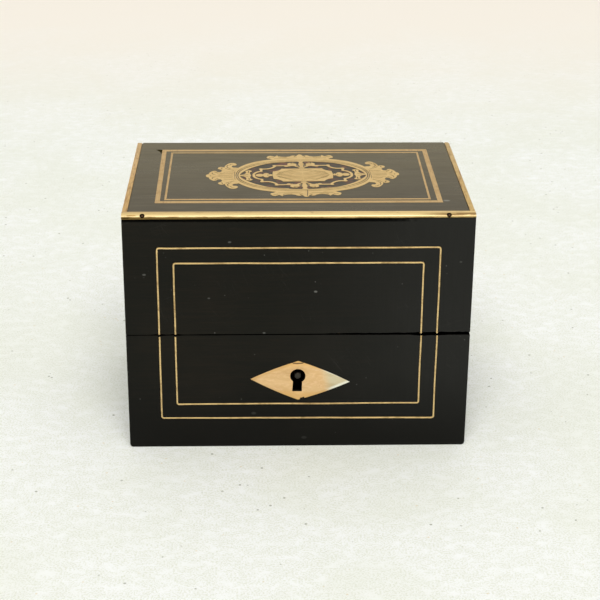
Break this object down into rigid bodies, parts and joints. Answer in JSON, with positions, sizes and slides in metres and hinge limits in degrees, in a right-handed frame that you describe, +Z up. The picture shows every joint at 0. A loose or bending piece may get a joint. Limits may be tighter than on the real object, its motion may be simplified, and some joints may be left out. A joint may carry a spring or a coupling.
{
  "type": "perfume box",
  "caption": "Ebonised tabletop perfume box with a hinged, inlaid lid, a sliding-bolt lock and square scent bottles in a lined, divided base.",
  "frame": {"origin": "on the table, in the middle of the underside", "axes": "+Z up, +X to the right seen from the front, +Y away from the viewer, towards the hinges"},
  "size_m": [0.14, 0.095, 0.103],
  "materials": {
    "front_face": "ebonised and french polished, worn",
    "top_face": "ebonised and french polished, worn",
    "carcase_wood": "ebonised and polished",
    "bottom_wood": "stained, unpolished",
    "brass_string": "rubbed, tarnished in places",
    "brass_band": "rubbed and dented",
    "engraved_brass": "engraved and rubbed",
    "hinge_brass": "dull",
    "lock_brass": "dull",
    "lock_steel": "bright tip",
    "screw_steel": "dull",
    "pin_metal": "dull",
    "dark_shell": "polished tortoiseshell over red foil",
    "pale_shell": "polished pearly shell",
    "velvet": "cut pile on card",
    "silk": "quilted silk",
    "bottle_glass": "clear and polished",
    "stopper_glass": "clear, cut and ground"
  },
  "bodies": {
    "base": {"base_front_board": "carcase_wood", "base_back_board": "carcase_wood", "base_left_board": "carcase_wood", "base_right_board": "carcase_wood", "base_bottom_board": "bottom_wood", "base_front_veneer": "front_face", "base_string_outer": "brass_string", "base_string_inner": "brass_string", "escutcheon": "pale_shell", "lock_case": "lock_brass", "lock_cap": "lock_brass", "lock_key_pin": "lock_steel", "base_screws": "screw_steel", "hinge_left_base_leaf": "hinge_brass", "hinge_right_base_leaf": "hinge_brass", "hinge_pins": "hinge_brass", "base_lining": "velvet", "divider_long": "velvet", "divider_cross_left": "velvet", "divider_cross_right": "velvet", "bottle_1": "bottle_glass", "bottle_2": "bottle_glass", "bottle_3": "bottle_glass", "bottle_4": "bottle_glass", "bottle_5": "bottle_glass", "bottle_6": "bottle_glass", "stopper_1": "stopper_glass", "stopper_2": "stopper_glass", "stopper_3": "stopper_glass", "stopper_4": "stopper_glass", "stopper_5": "stopper_glass", "stopper_6": "stopper_glass"},
    "bolt": {"lock_bolt": "lock_brass"},
    "lid": {"lid_front_board": "carcase_wood", "lid_back_board": "carcase_wood", "lid_left_board": "carcase_wood", "lid_right_board": "carcase_wood", "lid_top_board": "carcase_wood", "lid_front_veneer": "front_face", "lid_top_veneer": "top_face", "lid_string_outer": "brass_string", "lid_string_inner": "brass_string", "edge_band_front": "brass_band", "edge_band_left": "brass_band", "edge_band_right": "brass_band", "edge_band_pins": "pin_metal", "top_string_outer": "brass_string", "top_string_inner": "brass_string", "cartouche_ground": "dark_shell", "cartouche_rim": "engraved_brass", "cartouche_strap": "engraved_brass", "cartouche_medallion": "engraved_brass", "cartouche_sprigs": "engraved_brass", "link_plate": "lock_brass", "lid_screws": "screw_steel", "hinge_left_lid_leaf": "hinge_brass", "hinge_right_lid_leaf": "hinge_brass", "lid_lining": "velvet", "lid_pad": "silk"}
  },
  "joints": [
    {"name": "lid_hinge", "type": "hinge", "parent": "base", "child": "lid", "pos_m": [0, 0.0455, 0.05115], "axis": [-1, 0, 0], "range_deg": [0, 100]},
    {"name": "bolt_slide", "type": "slide", "parent": "base", "child": "bolt", "axis": [1, 0, 0], "range_m": [0, 0.0045]}
  ]
}
